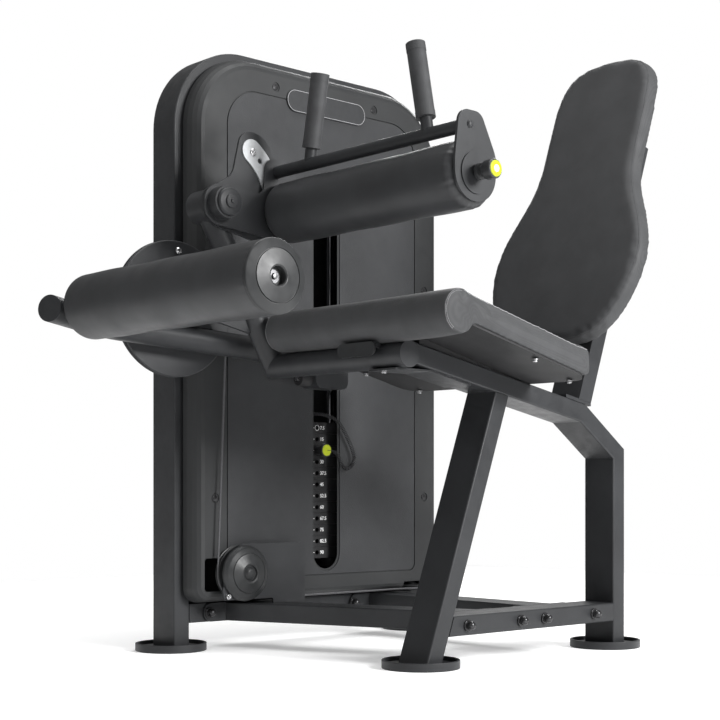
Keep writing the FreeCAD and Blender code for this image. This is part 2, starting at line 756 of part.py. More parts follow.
def make_hub():
    housing = part_body("hub_housing")
    add(housing, "XZ_Plane", circle(hub.x, hub.z, 38), 388, 451)
    sector = outline(((-276, 984, 8), (-82, 943, 20), (-66, 1031, 120), (-88, 1120, 120), (-124, 1206, 60),
                      (-196, 1212, 34), (-212, 1148, 22), (-222, 1104, 44), (-304, 1058, 26),
                      (-306, 1005, 34)))
    add(housing, "XZ_Plane", sector, 382, 388)
    cut(housing, "XZ_Plane", circle(hub.x, hub.z, 15.05), 381, 459)


INDEX_MIDDLE = 165
INDEX_HALF = 27


def index_arc(reach, first, last):
    turns = [math.radians(first), math.radians((first + last) / 2), math.radians(last)]
    return Part.Arc(*[Vector(hub.x + reach * math.cos(turn), hub.z + reach * math.sin(turn), 0)
                      for turn in turns])


def index_spot(turn):
    angle = math.radians(turn)
    return hub.x + INDEX_MIDDLE * math.cos(angle), hub.z + INDEX_MIDDLE * math.sin(angle)


def make_index_plate():
    """Curved band about the hub, with a round end, a stop bolt and a row of locking holes."""
    plate = part_body("index_plate")
    low = 8
    high = 54.5
    inner = INDEX_MIDDLE - INDEX_HALF
    outer = INDEX_MIDDLE + INDEX_HALF
    top = index_spot(high)
    away = math.radians(high + 90)
    crown = Vector(top[0] + INDEX_HALF * math.cos(away), top[1] + INDEX_HALF * math.sin(away), 0)
    first = index_arc(inner, low, high)
    second = index_arc(outer, low, high)
    edges = [first, second, Part.Arc(first.EndPoint, crown, second.EndPoint),
             Part.LineSegment(first.StartPoint, second.StartPoint)]
    add(plate, "XZ_Plane", edges, 378.1, 381.9)
    for turn in (44, 34, 24, 14):
        across, up = index_spot(turn)
        cut(plate, "XZ_Plane", circle(across, up, 6.5), 377, 383)
    across, up = index_spot(53)
    stop = part_body("small_bolt_index")
    lathe(stop, ((3, 374.7), (8, 374.7, 1), (9, 376), (9, 378), (0, 378), (0, 376.5), (3, 376.5)), "Y",
          (across, up))
    washer = part_body("stack_buffer_hub")
    lathe(washer, ((20, 374.2), (43, 374.2, 2), (43, 381.9, 2), (20, 381.9)), "Y", (hub.x, hub.z))


def make_inboard_housing():
    housing = part_body("inboard_housing")
    edge_high = post_point(knee.z + 60)
    edge_low = post_point(knee.z - 60)
    reach = pipe / math.cos(math.atan2(175, 355))
    add(housing, "XZ_Plane", circle(knee.x, knee.z, 34), 396, 446)
    add(housing, "XZ_Plane", outline(((knee.x - 10, knee.z - 33), (edge_low.x - reach, edge_low.z),
                                      (edge_high.x - reach, edge_high.z), (knee.x - 10, knee.z + 33))),
        398, 408)
    cut(housing, "XZ_Plane", circle(knee.x, knee.z, 15.05), 395, 447)


def make_outboard_housing():
    housing = part_body("outboard_housing")
    add(housing, "XZ_Plane", outline(((knee.x - 35, knee.z - 35, 34), (tower_left, knee.z - 60),
                                      (tower_left, knee.z + 60), (knee.x - 35, knee.z + 35, 34))),
        tower_front + 5, tower_front + 55)
    cut(housing, "XZ_Plane", circle(knee.x, knee.z, 15.05), tower_front, tower_front + 60)


# ---------------------------------------------------------------- swing arm
arm_plane = size("arm_plane")
ankle = Vector(size("ankle_front"), 0, size("ankle_height"))


def arm_height(across):
    return 734 - 0.0575 * (across + 224)


ARM_TAIL = Vector(200, arm_plane, arm_height(200))
ARM_BEND = Vector(-487, arm_plane, arm_height(-487))
ARM_END = Vector(-678, 403, 764)


def make_arm():
    straight = (ARM_BEND - ARM_TAIL).normalize()
    angled = (ARM_END - ARM_BEND).normalize()
    start, crown, finish = corner_arc(ARM_TAIL, ARM_BEND, ARM_END, 180)
    run = [Part.LineSegment(ARM_TAIL, start).toShape(), Part.Arc(start, crown, finish).toShape(),
           Part.LineSegment(finish, ARM_END).toShape()]
    tube = swept(run, pipe, pipe - size("pipe_wall"))
    cap = Part.makeCylinder(pipe, 6, ARM_END, angled)
    free_shape("arm_tube", tube)
    free_shape("arm_end_cap", cap)


def make_arm_hub():
    arm_hub = part_body("arm_hub")
    reach = pipe * math.hypot(1, 0.0575)
    add(arm_hub, "XZ_Plane", circle(knee.x, knee.z, 34), 458, 516)
    add(arm_hub, "XZ_Plane", outline(((-345, arm_height(-345) + reach), (-205, arm_height(-205) + reach),
                                      (knee.x + 33, knee.z - 8), (knee.x + 20, knee.z + 20),
                                      (knee.x - 20, knee.z + 20), (knee.x - 33, knee.z - 8))),
        arm_plane - 8, arm_plane + 8)
    cut(arm_hub, "XZ_Plane", circle(knee.x, knee.z, 15.05), 457, 517)


def make_shaft():
    shaft = part_body("pivot_shaft")
    lathe(shaft, ((0, 388), (20, 388, 3), (20, 395.5), (15, 395.5), (15, tower_front + 56),
                  (0, tower_front + 56)), "Y", (knee.x, knee.z))


def make_cam():
    plane = size("cable_plane")
    disc = part_body("cam_disc")
    floor = cam_cable - size("cable_radius") - 0.3
    lathe(disc, ((15.05, plane - 11), (30, plane - 11), (30, plane - 9), (157, plane - 9, 2),
                 (160, plane - 6, 1.5), (floor, plane - 2.7, 2), (floor, plane + 2.7, 2),
                 (160, plane + 6, 1.5), (157, plane + 9, 2), (30, plane + 9), (30, plane + 11),
                 (15.05, plane + 11)), "Y", (knee.x, knee.z))
    bolt = part_body("cam_bolt")
    lathe(bolt, ((0, plane - 15), (5, plane - 14.5, 2), (8, plane - 11, 2), (8, plane - 9), (0, plane - 9)),
          "Y", (-265, 945))


def make_counterweight():
    weight = part_body("counterweight")
    reach = pipe * math.hypot(1, 0.0575)
    add(weight, "XZ_Plane", outline(((94, 638, 18), (198, 638, 18), (198, arm_height(198) - reach),
                                     (94, arm_height(94) - reach))), arm_plane - 29, arm_plane + 29)
    bumper = part_body("bumper")
    add(bumper, "YZ_Plane", circle(arm_plane, 661, 17), 60, 93.9)
    bolt = part_body("bumper_bolt")
    add(bolt, "YZ_Plane", circle(arm_plane, 661, 6), 54, 59.9)


def make_ankle():
    near = -247
    far = 372
    radius = size("ankle_radius")
    where = (ankle.x, ankle.z)
    shaft = part_body("ankle_shaft")
    lathe(shaft, ((0, near - 5.5), (5, near - 5, 1), (6, near - 1), (12, near - 1), (12, 406), (0, 406)),
          "Y", where)
    roller = part_body("ankle_roller")
    lathe(roller, ((12.06, near), (radius, near, 3), (radius, far, 26), (12.06, far)), "Y", where)
    cap = part_body("ankle_cap")
    lathe(cap, ((12.06, near - 0.2), (radius, near - 0.2, 1), (radius, near - 5, 4), (50.5, near - 12),
                (50, near - 10.5), (48.5, near - 10.5), (48, near - 12.5), (20, near - 15, 2),
                (17, near - 13, 2), (17, near - 1), (12.06, near - 1)), "Y", where)


# ---------------------------------------------------------------- thigh hold-down
thigh = (size("thigh_front"), size("thigh_height"))
grip_bar = (size("bar_front"), size("bar_height"))
END_LOW = -242
FAR_LOW = 369
FAR_HIGH = 374


def make_thigh_side_plate():
    plate = part_body("thigh_side_plate")
    add(plate, "XZ_Plane", outline(((hub.x - 45, hub.z - 44, 40), (thigh[0] + 60, thigh[1] - 72, 58),
                                    (thigh[0] + 52, 1100, 60), (grip_bar[0] + 32, 1154, 27),
                                    (grip_bar[0] - 33, 1154, 27), (grip_bar[0] - 43, 1069, 16),
                                    (hub.x - 45, hub.z + 46, 42))), FAR_LOW, FAR_HIGH)
    cut(plate, "XZ_Plane", circle(hub.x, hub.z, 15.05), FAR_LOW - 1, FAR_HIGH + 1)


def make_hub_shaft():
    shaft = part_body("hub_shaft")
    lathe(shaft, ((0, 322), (5, 322, 1.5), (5, 325), (15.5, 325.5, 2), (16, 330), (31.5, 332, 6),
                  (32, 340), (37, 340), (37, 368.8), (15, 368.8), (15, 455), (0, 455)), "Y",
          (hub.x, hub.z))


def make_thigh_end_plate():
    plate = part_body("thigh_end_plate")
    add(plate, "XZ_Plane", outline(((thigh[0] - 58, thigh[1] - 58, 57.9), (thigh[0] + 58, thigh[1] - 58, 57.9),
                                    (thigh[0] + 62, thigh[1] + 38, 60), (grip_bar[0] + 33, 1154, 28),
                                    (grip_bar[0] - 30, 1154, 28), (thigh[0] - 60, thigh[1] + 20, 80))),
        END_LOW, END_LOW + 6)
    add(plate, "XZ_Plane", circle(thigh[0], thigh[1], 43), END_LOW - 3, END_LOW + 1)
    cut(plate, "XZ_Plane", circle(thigh[0], thigh[1], 5.56), END_LOW - 4, END_LOW + 7)


def make_thigh_shaft():
    shaft = part_body("thigh_shaft")
    add(shaft, "XZ_Plane", circle(thigh[0], thigh[1], 12.5), END_LOW + 6, FAR_LOW)
    cut(shaft, "XZ_Plane", circle(thigh[0], thigh[1], 5.56), END_LOW + 5, END_LOW + 66)


def make_thigh_pad():
    pad = part_body("thigh_pad")
    radius = size("thigh_radius")
    lathe(pad, ((12.56, END_LOW + 8), (radius - 8, END_LOW + 7, 6), (radius, END_LOW + 16, 10),
                (radius, FAR_LOW - 2, 20), (12.56, FAR_LOW - 2)), "Y", thigh)


def make_handle_bar():
    bar_piece = part_body("handle_bar")
    add(bar_piece, "XZ_Plane", circle(grip_bar[0], grip_bar[1], 14), END_LOW + 6, FAR_LOW)
    for side in (-1, 1):
        foot = Vector(grip_bar[0], seat_mid + side * size("grip_apart") / 2, grip_bar[1])
        lean = math.radians(11)
        bar(bar_piece, foot, foot + Vector(0, -side * math.sin(lean), math.cos(lean)) * 196, 13)


def make_grips():
    for number, side in enumerate((-1, 1), 1):
        grip = part_body("hand_grip_%d" % number)
        foot = Vector(grip_bar[0], seat_mid + side * size("grip_apart") / 2, grip_bar[1])
        lean = math.radians(11)
        along = Vector(0, -side * math.sin(lean), math.cos(lean))
        bar(grip, foot + along * 36, foot + along * 50, 21, 13.02)
        bar(grip, foot + along * 50, foot + along * 182, 20.4, 13.02)
        bar(grip, foot + along * 182, foot + along * 196, 21, 13.02)
        bar(grip, foot + along * 196, foot + along * 200, 21)


def make_knob():
    knob = part_body("release_knob")
    lathe(knob, ((0, -297), (18, -297, 2), (20, -294, 2), (20, -274, 4), (12, -270, 2), (12, -262),
                 (17, -260, 1), (17, -252, 1), (9, -250), (9, END_LOW - 3.2), (5.5, END_LOW - 3.2), (5.5, -190), (0, -190)), "Y", thigh)
    face = part_body("knob_face")
    lathe(face, ((0, -299), (15.5, -299, 1), (16.5, -297.1), (0, -297.1)), "Y", thigh)
    bolt = part_body("bar_bolt")
    lathe(bolt, ((0, END_LOW - 5), (5, END_LOW - 4.5, 2), (8.2, END_LOW - 1, 1), (8.2, END_LOW),
                 (0, END_LOW)), "Y", grip_bar)


# ---------------------------------------------------------------- seat
seat_low = seat_mid - size("seat_half")
seat_high = seat_mid + size("seat_half")


def make_seat_pad():
    pad = part_body("seat_pad")
    add(pad, "XZ_Plane", circle(-108, 751, 47.5), seat_low, seat_high)
    add(pad, "XZ_Plane", outline(((-97, 797.2), (-100, 736.3), (304.5, 637.8, 10), (310, 699, 18))),
        seat_low, seat_high)


def under_pad(across):
    return 736.3 - (across + 100) * 98.5 / 404.5 - 0.2


def make_seat_board():
    """Board under the pad, on two wedges that stand on the beam."""
    board = part_body("seat_board")
    rear = 312
    thick = 4.4
    add(board, "XY_Plane", outline(((-98, seat_low + 6), (rear, seat_low + 6, 45), (rear, seat_high - 6, 45),
                                    (-98, seat_high - 6))), 600, 770)
    cut(board, "XZ_Plane", outline(((-120, under_pad(-120)), (340, under_pad(340)), (340, 800), (-120, 800))),
        seat_low, seat_high)
    cut(board, "XZ_Plane", outline(((-120, under_pad(-120) - thick), (-120, 580), (340, 580),
                                    (340, under_pad(340) - thick))), seat_low, seat_high)
    cut(board, "XZ_Plane", circle(-108, 751, 48), seat_low, seat_high)
    wedge = part_body("seat_board_wedge")
    add(wedge, "XZ_Plane", outline(((-40, beam_top(-40)), (270, beam_top(270)),
                                    (270, under_pad(270) - thick), (-40, under_pad(-40) - thick))), -36, 36)
    for number, (across, offset) in enumerate(((145, 268), (145, -268), (296, 238), (296, -238)), 1):
        bolt = part_body("small_bolt_%d" % number)
        low = under_pad(across) - thick - 9.6
        lathe(bolt, ((0, low), (5.5, low + 0.5, 1), (5.5, low + 5), (7.5, low + 5), (7.5, low + 7.5),
                     (0, low + 7.5)), "Z", (across, seat_mid + offset))
    under = part_body("small_bolt_gusset")
    lathe(under, ((0, 637), (6, 637.5, 1), (6, 643.3), (0, 643.3)), "Z", (-104, 7))


def make_seat_lever():
    lever = part_body("seat_lever")
    add(lever, "XZ_Plane", circle(-127, 700, 4), 13.2, 102.8)
    add(lever, "XZ_Plane", circle(-127, 700, 3), 6, 110)
    add(lever, "YZ_Plane", box_outline(-1, 117, 674, 704, 14), -139.5, -135.5)
    add(lever, "XZ_Plane", box_outline(-137, -127, 697, 703.4), 13.2, 102.8)


# ---------------------------------------------------------------- backrest
lean_back = math.radians(size("back_lean"))
BACK_FOOT = Vector(535, 0, 876)
UP_BACK = Vector(math.sin(lean_back), 0, math.cos(lean_back))
OUT_BACK = Vector(math.cos(lean_back), 0, -math.sin(lean_back))
BACK_TURN = FreeCAD.Rotation(Vector(0, 1, 0), UP_BACK, OUT_BACK, "ZXY")
BACK_HALVES = ((-137, 72), (-123, 132), (-96, 169), (-50, 200), (0, 220), (50, 230), (92, 231),
               (130, 225), (186, 206), (226, 188), (266, 171), (305, 159), (350, 153), (420, 152),
               (500, 151), (550, 148), (588, 138), (615, 119), (636, 86), (645, 42))


def back_place(offset):
    return FreeCAD.Placement(BACK_FOOT + Vector(0, seat_mid, 0) + OUT_BACK * offset, BACK_TURN)


def back_curve(shrink):
    right = [Vector(reach - shrink, up, 0) for up, reach in BACK_HALVES]
    left = [Vector(shrink - reach, up, 0) for up, reach in reversed(BACK_HALVES)]
    curve = Part.BSplineCurve()
    curve.interpolate(right + left, PeriodicFlag=True)
    return [curve]


def slab(piece, edges, near, far):
    pad = piece.newObject("PartDesign::Pad", "Pad")
    pad.Profile = sketch(piece, "XY_Plane", edges, back_place(near))
    pad.Length = far - near
    piece.Tip = pad


def make_back_pad():
    pad = part_body("back_pad")
    slab(pad, back_curve(0), -4, 38)


def make_back_plate():
    plate = part_body("back_plate")
    slab(plate, box_outline(-110, 110, -70, 560, 30), 38.2, 44)


def make_back_upright():
    upright = part_body("back_upright")
    centre = -seat_mid
    slab(upright, box_outline(centre - half, centre + half, -340, 420), 44.2, 44.2 + deep)
    inner = half - wall
    pocket = upright.newObject("PartDesign::Pocket", "Pocket")
    pocket.Profile = sketch(upright, "XY_Plane", box_outline(centre - inner, centre + inner, -345, 417),
                            back_place(44.2 + deep - wall))
    pocket.Length = deep - 2 * wall
    upright.Tip = pocket
    front = 440
    rear = 532
    cut(upright, "XZ_Plane", outline(((380, beam_top(380) + 8), (620, beam_top(620) + 8), (620, 480),
                                      (380, 480))), -60, 130)
    add(upright, "XZ_Plane", outline(((front, beam_top(front) + 0.1), (rear, beam_top(rear) + 0.1),
                                      (rear, beam_top(rear) + 8.2), (front, beam_top(front) + 8.2))),
        -44, seat_mid + half)


# ---------------------------------------------------------------- lanyard
LANYARD = ((144, 606, 564.3), (156, 604, 580), (186, 592, 583), (220, 568, 581), (241, 546, 566),
           (263, 543, 538), (300, 543, 474), (292, 543, 452), (271, 543, 440), (251, 543, 450),
           (246, 545, 470), (243, 551, 483), (233, 560.5, 489))


def make_lanyard():
    """Curly cord from the head plate round to the selector pin's side, as one tube of the coil's width."""
    edges = bent_run([Vector(*point) for point in LANYARD])
    free_shape("lanyard", swept(edges, 4.2))


for spot_number, spot in enumerate(FEET, 1):
    make_foot(spot_number, spot)
make_front_leg()
make_rear_leg()
make_seat_beam()
make_near_rail()
make_nuts()
make_base_tube("base_tube_front", FRONT_TUBE[0], FRONT_TUBE[1])
make_base_tube("base_tube_rear", REAR_TUBE[0], REAR_TUBE[1])
make_tower_frame()
make_tower_rail()
make_shroud()
make_panel()
make_badge()
make_screws()
make_brackets()
make_rear_cover()
make_guide_rods()
make_weights()
make_head_plate()
make_stem()
make_pin()
make_pin_face()
make_buffers()
make_cable()
make_pulleys()
make_pulley_plate()
make_pulley_cap()
make_pulley_brackets()
make_cross_tube()
make_post()
make_hub()
make_index_plate()
make_inboard_housing()
make_outboard_housing()
make_arm()
make_arm_hub()
make_shaft()
make_cam()
make_counterweight()
make_ankle()
make_thigh_side_plate()
make_hub_shaft()
make_thigh_end_plate()
make_thigh_shaft()
make_thigh_pad()
make_handle_bar()
make_grips()
make_knob()
make_seat_pad()
make_seat_board()
make_seat_lever()
make_back_pad()
make_back_plate()
make_back_upright()
make_lanyard()
doc.recompute()

# Copies of one piece, and pieces welded to each other, share a file.
SHARED = {"foot_": "feet", "shroud_screw_": "shroud_screws", "shroud_bracket_": "shroud_brackets",
          "small_bolt_": "small_bolts", "keeper_": "small_bolts", "selector_stem": "head_plate",
          "beam_gusset": "seat_beam", "seat_board_": "seat_board", "hub_shaft": "thigh_side_plate",
          "back_plate": "back_upright",
          "guide_rod_": "guide_rods", "stack_buffer_": "stack_buffers", "hand_grip_": "hand_grips",
          "frame_bolt_": "frame_bolts", "base_tube_": "base_tubes", "tower_": "tower_frame",
          "arm_end_": "arm_tube", "inboard_": "knee_housings", "outboard_": "knee_housings",
          "top_bracket": "pulley_brackets", "turn_bracket": "pulley_brackets",
          "rear_bracket": "pulley_brackets", "pulley_plate": "pulley_brackets",
          "cam_bolt": "arm_bolts", "bumper_bolt": "arm_bolts", "bar_bolt": "thigh_end_plate"}
PARKED = ["weight_%02d" % number for number in range(1, 10)]
LIFTED = ["weight_10", "weight_11"]
files = {}
for thing in doc.Objects:
    if "Invalid" in thing.State or "Error" in thing.State:
        raise RuntimeError("broken feature: %s %s" % (thing.Name, thing.State))
    if not (thing.isDerivedFrom("PartDesign::Body") or thing.TypeId == "Part::Feature"):
        continue
    if thing.Shape.isNull() or not thing.Shape.isValid():
        raise RuntimeError("bad shape: %s" % thing.Label)
    node = thing.Label
    for start, shared in SHARED.items():
        if node.startswith(start):
            node = shared
    if thing.Label in PARKED:
        node = "weights_parked"
    if thing.Label in LIFTED:
        node = "weights_lifted"
    files.setdefault(node, []).append(thing.Shape)

os.makedirs("parts", exist_ok=True)
for node, shapes in files.items():
    solids = [solid for shape in shapes for solid in shape.Solids]
    if not solids:
        raise RuntimeError("no solid in %s" % node)
    whole = solids[0] if len(solids) == 1 else Part.makeCompound(solids)
    whole.exportStep("parts/%s.step" % node)
    print(node, len(solids), "%.1f" % whole.Volume, "box", [round(v) for v in (
        whole.BoundBox.XMin, whole.BoundBox.XMax, whole.BoundBox.YMin, whole.BoundBox.YMax,
        whole.BoundBox.ZMin, whole.BoundBox.ZMax)])
print(len(files), "nodes")
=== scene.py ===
import bmesh
import bpy
import json
import math
import numpy as np
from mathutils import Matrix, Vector
from mathutils.bvhtree import BVHTree


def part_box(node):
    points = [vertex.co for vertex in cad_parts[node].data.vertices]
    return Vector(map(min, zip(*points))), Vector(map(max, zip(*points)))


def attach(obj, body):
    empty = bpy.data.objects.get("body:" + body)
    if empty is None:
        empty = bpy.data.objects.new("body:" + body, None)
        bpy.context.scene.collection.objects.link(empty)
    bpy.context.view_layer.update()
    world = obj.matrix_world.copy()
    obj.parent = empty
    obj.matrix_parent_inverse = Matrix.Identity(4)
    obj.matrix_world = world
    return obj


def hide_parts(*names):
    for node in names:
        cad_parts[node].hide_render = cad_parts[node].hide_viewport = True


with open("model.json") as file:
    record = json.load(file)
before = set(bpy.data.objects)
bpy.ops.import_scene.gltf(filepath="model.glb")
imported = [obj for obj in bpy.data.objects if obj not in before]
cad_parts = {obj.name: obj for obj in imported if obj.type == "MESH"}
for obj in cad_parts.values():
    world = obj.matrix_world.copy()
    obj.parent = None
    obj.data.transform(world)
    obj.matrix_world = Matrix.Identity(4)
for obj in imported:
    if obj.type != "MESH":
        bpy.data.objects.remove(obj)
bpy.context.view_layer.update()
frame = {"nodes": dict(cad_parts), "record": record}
nodes = frame["nodes"]
scene = bpy.context.scene


# ---------------------------------------------------------------- camera, floor and light
def make_camera():
    """Level camera, low on the seat's side; the shift keeps upright tubes upright."""
    data = bpy.data.cameras.new("Camera")
    data.lens = 73.08
    data.sensor_width = 36
    data.shift_y = 0.1775
    data.clip_end = 50
    camera = bpy.data.objects.new("Camera", data)
    scene.collection.objects.link(camera)
    camera.location = (-2.2469, -2.2651, 0.3928)
    camera.rotation_euler = (math.radians(90), 0, math.radians(47.61 - 90))
    scene.camera = camera


def make_floor():
    mesh = bpy.data.meshes.new("floor")
    reach = 3.2
    mesh.from_pydata([(-reach, -reach, 0), (reach, -reach, 0), (reach, reach, 0), (-reach, reach, 0)],
                     [], [(0, 1, 2, 3)])
    floor = bpy.data.objects.new("floor", mesh)
    scene.collection.objects.link(floor)
    material = bpy.data.materials.new("floor")
    material.use_nodes = True
    shader = material.node_tree.nodes["Principled BSDF"]
    shader.inputs["Base Color"].default_value = (1, 1, 1, 1)
    shader.inputs["Roughness"].default_value = 0.9
    shader.inputs["Emission Color"].default_value = (1, 1, 1, 1)
    shader.inputs["Emission Strength"].default_value = 0.3
    mesh.materials.append(material)


def make_light(name, place, target, width, power):
    data = bpy.data.lights.new(name, "AREA")
    data.energy = power
    data.shape = "RECTANGLE"
    data.size = width
    data.size_y = width * 0.7
    light = bpy.data.objects.new(name, data)
    scene.collection.objects.link(light)
    light.location = place
    light.rotation_euler = (Vector(target) - Vector(place)).to_track_quat("-Z", "Y").to_euler()


def make_lights():
    """White surround to look at, with a weaker glow than the lamps, so that dark faces stay dark."""
    scene.view_settings.view_transform = "Standard"
    world = bpy.data.worlds.new("World")
    scene.world = world
    world.use_nodes = True
    tree = world.node_tree
    background = tree.nodes["Background"]
    background.inputs["Color"].default_value = (1, 1, 1, 1)
    seen = tree.nodes.new("ShaderNodeLightPath").outputs["Is Camera Ray"]
    strength = tree.nodes.new("ShaderNodeMapRange")
    strength.inputs["To Min"].default_value = 0.26
    strength.inputs["To Max"].default_value = 1.0
    tree.links.new(seen, strength.inputs["Value"])
    tree.links.new(strength.outputs["Result"], background.inputs["Strength"])
    make_light("overhead", (0.0, -0.2, 3.8), (0.1, 0.2, 0), 2.6, 75)
    make_light("fill", (0.9, -3.5, 1.9), (0.2, 0.1, 0.7), 1.5, 225)
    make_light("edge", (-3.2, 0.4, 2.6), (0.0, 0.2, 0.9), 0.9, 9)
    make_light("rim", (2.6, 2.2, 2.8), (0.2, 0.3, 0.9), 1.6, 60)


# ---------------------------------------------------------------- materials
class Shade:
    """A node material, with short calls for the few node kinds used here."""

    def __init__(self, name, colour, rough, metal=0.0):
        self.material = bpy.data.materials.new(name)
        self.material.use_nodes = True
        self.tree = self.material.node_tree
        self.shader = self.tree.nodes["Principled BSDF"]
        self.shader.inputs["Roughness"].default_value = rough
        self.shader.inputs["Metallic"].default_value = metal
        self.shader.inputs["Specular IOR Level"].default_value = 0.3
        self.colour = colour
        self.shader.inputs["Base Color"].default_value = (*colour, 1)
        self.place = self.tree.nodes.new("ShaderNodeTexCoord").outputs["Object"]
        self.last_bump = None

    def link(self, start, end):
        self.tree.links.new(start, end)

    def noise(self, scale, detail=2.0, rough=0.5):
        node = self.tree.nodes.new("ShaderNodeTexNoise")
        node.inputs["Scale"].default_value = scale
        node.inputs["Detail"].default_value = detail
        node.inputs["Roughness"].default_value = rough
        self.link(self.place, node.inputs["Vector"])
        return node.outputs["Fac"]

    def cells(self, scale):
        node = self.tree.nodes.new("ShaderNodeTexVoronoi")
        node.inputs["Scale"].default_value = scale
        self.link(self.place, node.inputs["Vector"])
        return node.outputs["Distance"]

    def waves(self, scale, direction):
        node = self.tree.nodes.new("ShaderNodeTexWave")
        node.bands_direction = direction
        node.inputs["Scale"].default_value = scale
        node.inputs["Distortion"].default_value = 0.6
        node.inputs["Detail"].default_value = 1
        self.link(self.place, node.inputs["Vector"])
        return node.outputs["Fac"]

    def mixed(self, first, second, share=0.5):
        node = self.tree.nodes.new("ShaderNodeMix")
        node.data_type = "FLOAT"
        node.inputs[0].default_value = share
        self.link(first, node.inputs[2])
        self.link(second, node.inputs[3])
        return node.outputs[0]

    def stretch(self, value, low, high):
        node = self.tree.nodes.new("ShaderNodeMapRange")
        node.inputs["From Min"].default_value = 0.3
        node.inputs["From Max"].default_value = 0.7
        node.inputs["To Min"].default_value = low
        node.inputs["To Max"].default_value = high
        self.link(value, node.inputs["Value"])
        return node.outputs["Result"]

    def tint(self, value, dark, light):
        """Colour between two multiples of the base colour."""
        node = self.tree.nodes.new("ShaderNodeMix")
        node.data_type = "RGBA"
        node.inputs[6].default_value = (*[part * dark for part in self.colour], 1)
        node.inputs[7].default_value = (*[part * light for part in self.colour], 1)
        self.link(self.stretch(value, 0, 1), node.inputs[0])
        self.link(node.outputs[2], self.shader.inputs["Base Color"])

    def roughen(self, value, low, high):
        self.link(self.stretch(value, low, high), self.shader.inputs["Roughness"])

    def bump(self, value, strength, depth):
        node = self.tree.nodes.new("ShaderNodeBump")
        node.inputs["Strength"].default_value = strength
        node.inputs["Distance"].default_value = depth
        self.link(value, node.inputs["Height"])
        if self.last_bump:
            self.link(self.last_bump, node.inputs["Normal"])
        self.last_bump = node.outputs["Normal"]
        self.link(self.last_bump, self.shader.inputs["Normal"])


def powder_coat():
    shade = Shade("powder_coat", (0.026, 0.027, 0.029), 0.44)
    shade.bump(shade.noise(1100, 2), 0.35, 0.0004)
    shade.tint(shade.noise(9, 4), 0.85, 1.2)
    shade.roughen(shade.noise(40, 3), 0.36, 0.5)
    return shade.material


def shell_plastic():
    shade = Shade("shell_plastic", (0.026, 0.027, 0.028), 0.44)
    shade.bump(shade.cells(650), 0.35, 0.0004)
    shade.tint(shade.noise(5, 4), 0.88, 1.14)
    shade.roughen(shade.noise(30, 3), 0.44, 0.58)
    return shade.material


def panel_plastic():
    shade = Shade("panel_plastic", (0.030, 0.031, 0.033), 0.52)
    shade.bump(shade.cells(420), 0.5, 0.0006)
    shade.tint(shade.noise(6, 4), 0.86, 1.16)
    shade.roughen(shade.noise(25, 3), 0.5, 0.64)
    return shade.material


def badge_plastic():
    shade = Shade("badge_plastic", (0.030, 0.031, 0.033), 0.42)
    shade.tint(shade.noise(60, 3), 0.92, 1.08)
    shade.bump(shade.noise(900, 2), 0.1, 0.0002)
    return shade.material


def upholstery():
    """Woven-look vinyl: crossed fine ribs over a soft grain."""
    shade = Shade("upholstery", (0.046, 0.047, 0.049), 0.6)
    weave = shade.mixed(shade.waves(230, "Y"), shade.waves(230, "DIAGONAL"))
    shade.bump(weave, 0.35, 0.0005)
    shade.bump(shade.noise(60, 5), 0.12, 0.002)
    shade.tint(shade.mixed(weave, shade.noise(14, 5), 0.6), 0.8, 1.2)
    shade.roughen(shade.noise(22, 4), 0.54, 0.7)
    shade.shader.inputs["Sheen Weight"].default_value = 0.06
    shade.shader.inputs["Sheen Roughness"].default_value = 0.4
    return shade.material


def roller_vinyl():
    shade = Shade("roller_vinyl", (0.034, 0.035, 0.037), 0.44)
    shade.bump(shade.cells(700), 0.25, 0.0003)
    shade.bump(shade.noise(35, 4), 0.1, 0.002)
    shade.tint(shade.noise(10, 5), 0.85, 1.18)
    shade.roughen(shade.noise(18, 4), 0.36, 0.5)
    return shade.material


def cap_plastic():
    shade = Shade("cap_plastic", (0.026, 0.027, 0.028), 0.36)
    shade.bump(shade.noise(800, 2), 0.2, 0.0003)
    shade.tint(shade.noise(30, 3), 0.88, 1.14)
    shade.roughen(shade.noise(60, 3), 0.28, 0.42)
    return shade.material


def dark_steel():
    shade = Shade("dark_steel", (0.05, 0.05, 0.052), 0.24, 0.6)
    shade.tint(shade.noise(90, 3), 0.8, 1.2)
    shade.roughen(shade.noise(200, 3), 0.16, 0.32)
    return shade.material


# Pale grey for the badge's printed outline, and also for a painted highlight line along the seat's top edge.
def print_and_highlight_grey():
    shade = Shade("print_and_highlight_grey", (0.42, 0.42, 0.43), 0.5)
    shade.tint(shade.noise(120, 3), 0.9, 1.08)
    return shade.material


def bright_steel():
    shade = Shade("bright_steel", (0.66, 0.66, 0.67), 0.28, 1.0)
    shade.tint(shade.noise(120, 3), 0.8, 1.08)
    shade.roughen(shade.noise(300, 3), 0.2, 0.36)
    shade.bump(shade.noise(1500, 2), 0.08, 0.0001)
    return shade.material


def dull_steel():
    shade = Shade("dull_steel", (0.16, 0.16, 0.165), 0.4, 0.8)
    shade.tint(shade.noise(120, 3), 0.8, 1.15)
    shade.roughen(shade.noise(200, 3), 0.3, 0.5)
    return shade.material


def chrome():
    shade = Shade("chrome", (0.42, 0.42, 0.44), 0.16, 1.0)
    shade.roughen(shade.noise(80, 3), 0.08, 0.2)
    return shade.material


def plate_paint():
    shade = Shade("plate_paint", (0.016, 0.016, 0.017), 0.45)
    shade.bump(shade.noise(700, 2), 0.3, 0.0004)
    shade.tint(shade.noise(25, 4), 0.8, 1.3)
    shade.roughen(shade.noise(50, 3), 0.36, 0.55)
    return shade.material


def index_silver():
    shade = Shade("index_silver", (0.46, 0.47, 0.48), 0.4, 0.3)
    shade.tint(shade.noise(90, 3), 0.9, 1.06)
    shade.bump(shade.noise(1000, 2), 0.1, 0.0002)
    return shade.material


